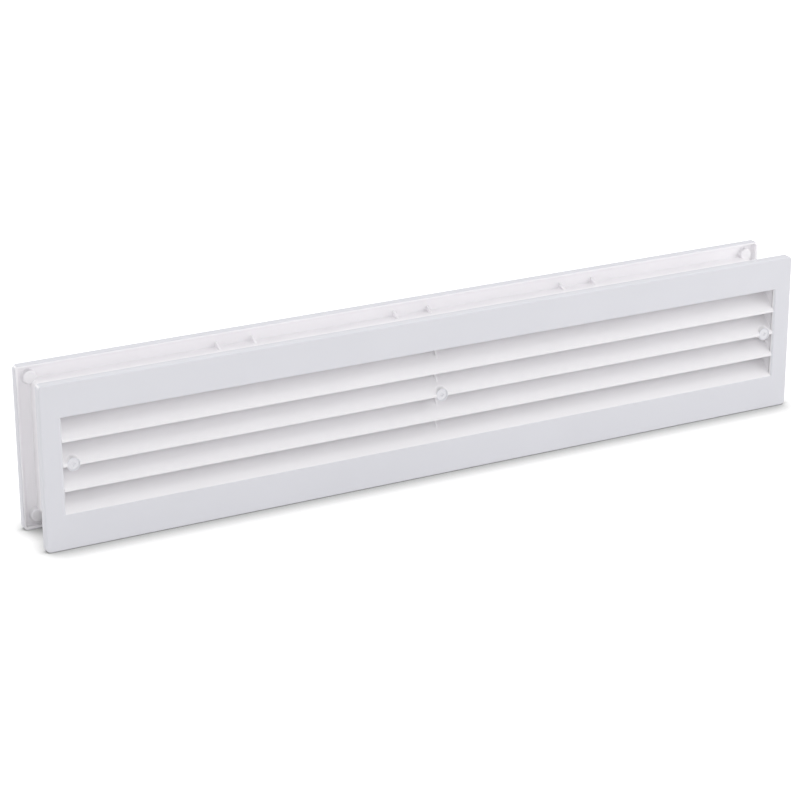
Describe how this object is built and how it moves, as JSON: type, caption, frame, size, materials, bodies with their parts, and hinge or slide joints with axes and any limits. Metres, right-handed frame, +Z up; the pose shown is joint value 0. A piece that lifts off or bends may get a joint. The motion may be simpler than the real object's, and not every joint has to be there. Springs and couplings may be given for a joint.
{
  "type": "door vent grille",
  "caption": "White rectangular door vent: front and rear louvre grilles whose collars telescope through the door and are clamped by screws.",
  "frame": {"origin": "middle of the door gap and of the width, on the surface that the two flanges stand on", "axes": "+X to the right seen from the front half, +Y from the front half to the rear half, +Z up"},
  "size_m": [0.455, 0.0386, 0.09],
  "materials": {
    "white_plastic": "moulded, semi-gloss white",
    "white_screw": "white-painted pan head"
  },
  "bodies": {
    "front_half": {"front_flange": "white_plastic", "front_collar_long_walls": "white_plastic", "front_collar_end_walls": "white_plastic", "front_vane_1": "white_plastic", "front_vane_2": "white_plastic", "front_vane_3": "white_plastic", "front_vane_4": "white_plastic", "front_centre_rib": "white_plastic", "front_boss_left": "white_plastic", "front_boss_centre": "white_plastic", "front_boss_right": "white_plastic", "front_corner_bosses": "white_plastic"},
    "rear_half": {"rear_flange": "white_plastic", "rear_collar_long_walls": "white_plastic", "rear_collar_end_walls": "white_plastic", "rear_vane_1": "white_plastic", "rear_vane_2": "white_plastic", "rear_vane_3": "white_plastic", "rear_vane_4": "white_plastic", "rear_centre_rib": "white_plastic", "rear_post_left": "white_plastic", "rear_post_centre": "white_plastic", "rear_post_right": "white_plastic", "rear_corner_bosses": "white_plastic", "rear_top_gussets": "white_plastic", "rear_bottom_gussets": "white_plastic"},
    "screw_left_body": {"screw_left": "white_screw"},
    "screw_centre_body": {"screw_centre": "white_screw"},
    "screw_right_body": {"screw_right": "white_screw"}
  },
  "joints": [
    {"name": "door_thickness_slide", "type": "slide", "parent": "front_half", "child": "rear_half", "axis": [0, 1, 0], "range_m": [0, 0.015]},
    {"name": "screw_left_turn", "type": "hinge", "parent": "front_half", "child": "screw_left_body", "pos_m": [-0.2107, -0.019, 0.0456], "axis": [0, 1, 0], "range_deg": [-3860, 0]},
    {"name": "screw_centre_turn", "type": "hinge", "parent": "front_half", "child": "screw_centre_body", "pos_m": [0, -0.019, 0.0456], "axis": [0, 1, 0], "range_deg": [-3860, 0]},
    {"name": "screw_right_turn", "type": "hinge", "parent": "front_half", "child": "screw_right_body", "pos_m": [0.2107, -0.019, 0.0456], "axis": [0, 1, 0], "range_deg": [-3860, 0]}
  ],
  "couplings": [
    {"joint": "screw_left_turn", "follows": "door_thickness_slide", "rad_per_m": -4488},
    {"joint": "screw_centre_turn", "follows": "door_thickness_slide", "rad_per_m": -4488},
    {"joint": "screw_right_turn", "follows": "door_thickness_slide", "rad_per_m": -4488}
  ]
}
